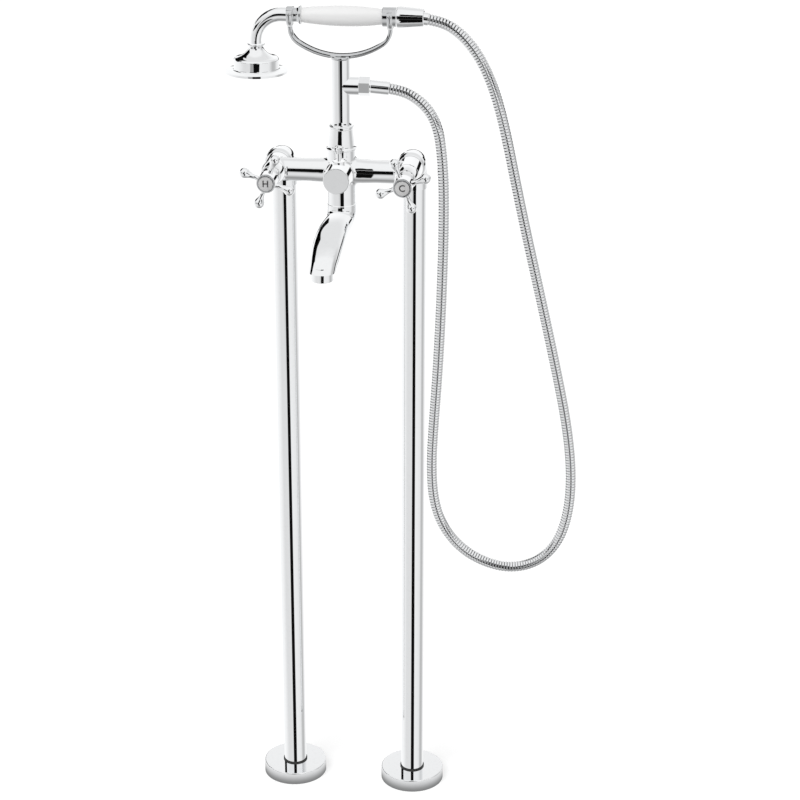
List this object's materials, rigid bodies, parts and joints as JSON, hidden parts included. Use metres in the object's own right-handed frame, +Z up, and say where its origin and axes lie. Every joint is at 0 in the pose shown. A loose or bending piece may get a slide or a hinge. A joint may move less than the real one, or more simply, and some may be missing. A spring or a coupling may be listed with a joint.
{
  "type": "floor standing bath filler",
  "caption": "Floor standing bath filler: standpipes, cross-handle mixer, swinging spout, diverter, and a hand shower with porcelain grip lying in a cradle, on a looped metal hose.",
  "frame": {"origin": "on the floor, midway between the two standpipes' axes, at the centre of the four floor bolts", "axes": "+Z up, -Y towards the bath (the side of the spout and the handles), +X to the user's right as they face the handles"},
  "size_m": [0.4107, 0.2238, 1.0214],
  "materials": {
    "chrome": "bright polished chrome plate on brass",
    "hose_steel": "polished interlocked metal hose",
    "brass": "machined brass",
    "steel": "plain steel screw",
    "rubber": "black rubber",
    "porcelain": "white glazed porcelain",
    "ceramic": "lapped ceramic",
    "index_white": "glossy white enamel disc",
    "plastic": "moulded plastic sieve"
  },
  "bodies": {
    "root": {"left_anchor_plate": "brass", "left_floor_flange": "chrome", "left_standpipe": "chrome", "left_elbow": "chrome", "left_union_nut": "chrome", "left_pipe_seal": "rubber", "right_anchor_plate": "brass", "right_floor_flange": "chrome", "right_standpipe": "chrome", "right_elbow": "chrome", "right_union_nut": "chrome", "right_pipe_seal": "rubber", "union_washers": "rubber", "outlet_washer": "rubber", "mixer_body": "chrome", "front_cap": "chrome", "diverter_guide": "chrome", "riser_sleeve": "chrome", "riser_ring": "chrome", "riser_tube": "chrome", "hose_outlet": "chrome", "outlet_hose_nut": "chrome", "outlet_ferrule": "chrome", "cradle_fork": "chrome", "shower_hose": "hose_steel", "hot_bonnet": "chrome", "hot_cartridge": "brass", "cold_bonnet": "chrome", "cold_cartridge": "brass", "spout_seals": "rubber"},
    "hot_handle": {"hot_cross_handle": "chrome", "hot_index_bezel": "chrome", "hot_spindle": "brass", "hot_ceramic_disc": "ceramic", "hot_index_disc": "index_white", "hot_handle_screw": "steel"},
    "cold_handle": {"cold_cross_handle": "chrome", "cold_index_bezel": "chrome", "cold_spindle": "brass", "cold_ceramic_disc": "ceramic", "cold_index_disc": "index_white", "cold_handle_screw": "steel"},
    "spout": {"spout": "chrome", "aerator_housing": "chrome", "aerator_insert": "plastic"},
    "diverter": {"diverter_knob": "chrome", "diverter_rod": "chrome", "diverter_piston": "brass"},
    "handset": {"handset_grip": "porcelain", "grip_liner_tube": "brass", "front_ferrule": "chrome", "rear_ferrule": "chrome", "handset_neck": "chrome", "neck_collar": "chrome", "shower_head": "chrome", "spray_plate": "chrome", "handset_hose_nut": "chrome", "hose_end_ring": "chrome"}
  },
  "joints": [
    {"name": "hot_turn", "type": "hinge", "parent": "root", "child": "hot_handle", "pos_m": [-0.077, -0.11, 0.8315], "axis": [0, -1, 0], "range_deg": [0, 90]},
    {"name": "cold_turn", "type": "hinge", "parent": "root", "child": "cold_handle", "pos_m": [0.077, -0.11, 0.8315], "axis": [0, -1, 0], "range_deg": [-90, 0]},
    {"name": "spout_swivel", "type": "hinge", "parent": "root", "child": "spout", "pos_m": [0, -0.06, 0.77], "axis": [0, 0, 1], "range_deg": [-68, 76]},
    {"name": "diverter_pull", "type": "slide", "parent": "root", "child": "diverter", "axis": [0, 0, 1], "range_m": [0, 0.008]},
    {"name": "handset_lift", "type": "slide", "parent": "root", "child": "handset", "axis": [0, 0, 1], "range_m": [0, 0.07], "deforming": ["shower_hose"]}
  ]
}
